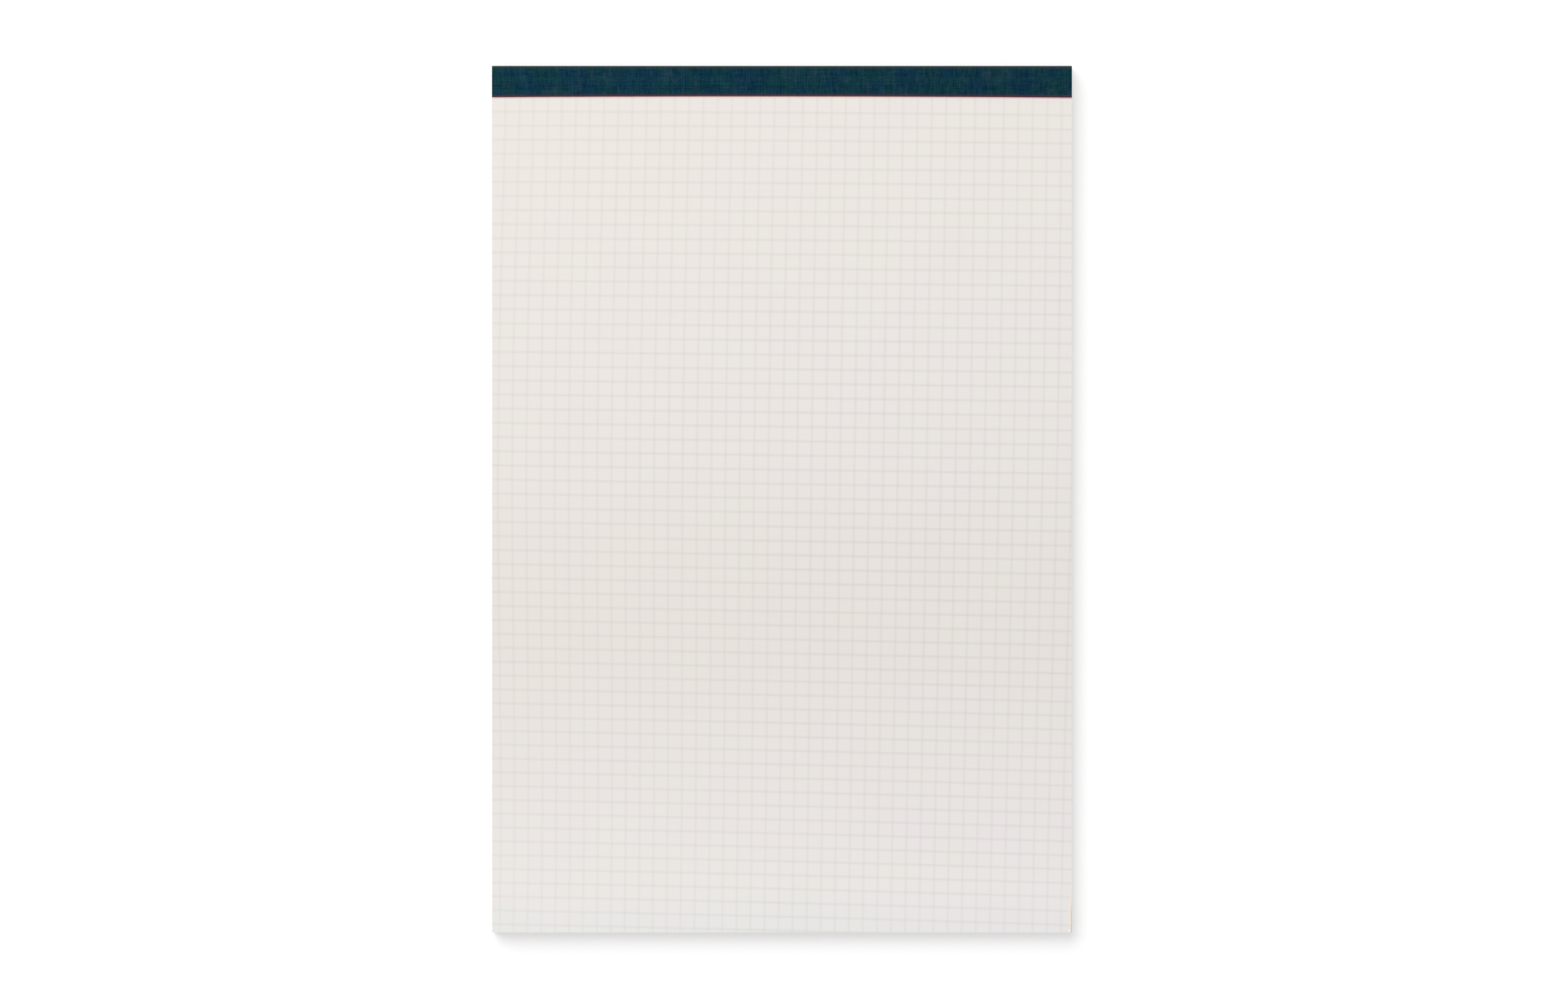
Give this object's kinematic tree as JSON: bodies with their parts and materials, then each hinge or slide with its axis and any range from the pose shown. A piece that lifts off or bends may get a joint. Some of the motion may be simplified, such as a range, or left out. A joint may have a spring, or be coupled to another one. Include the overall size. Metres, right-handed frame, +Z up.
{
  "type": "legal pad",
  "caption": "Large writing pad of squared sheets on a stiff chipboard back, glued along the head and bound there with a dark blue cloth tape.",
  "frame": {"origin": "middle of the pad's outline, level with the surface that it lies on", "axes": "+Z up from the desk through the sheets, +Y along the page to the bound head, +X to the right of the page"},
  "size_m": [0.2032, 0.3038, 0.0066],
  "materials": {
    "paper": "matte",
    "chipboard": "matte",
    "glue": "satin",
    "cloth": "matte"
  },
  "bodies": {
    "root": {"paper_block": "paper", "backing_board": "chipboard", "padding_glue": "glue", "binding_tape": "cloth"}
  },
  "joints": []
}
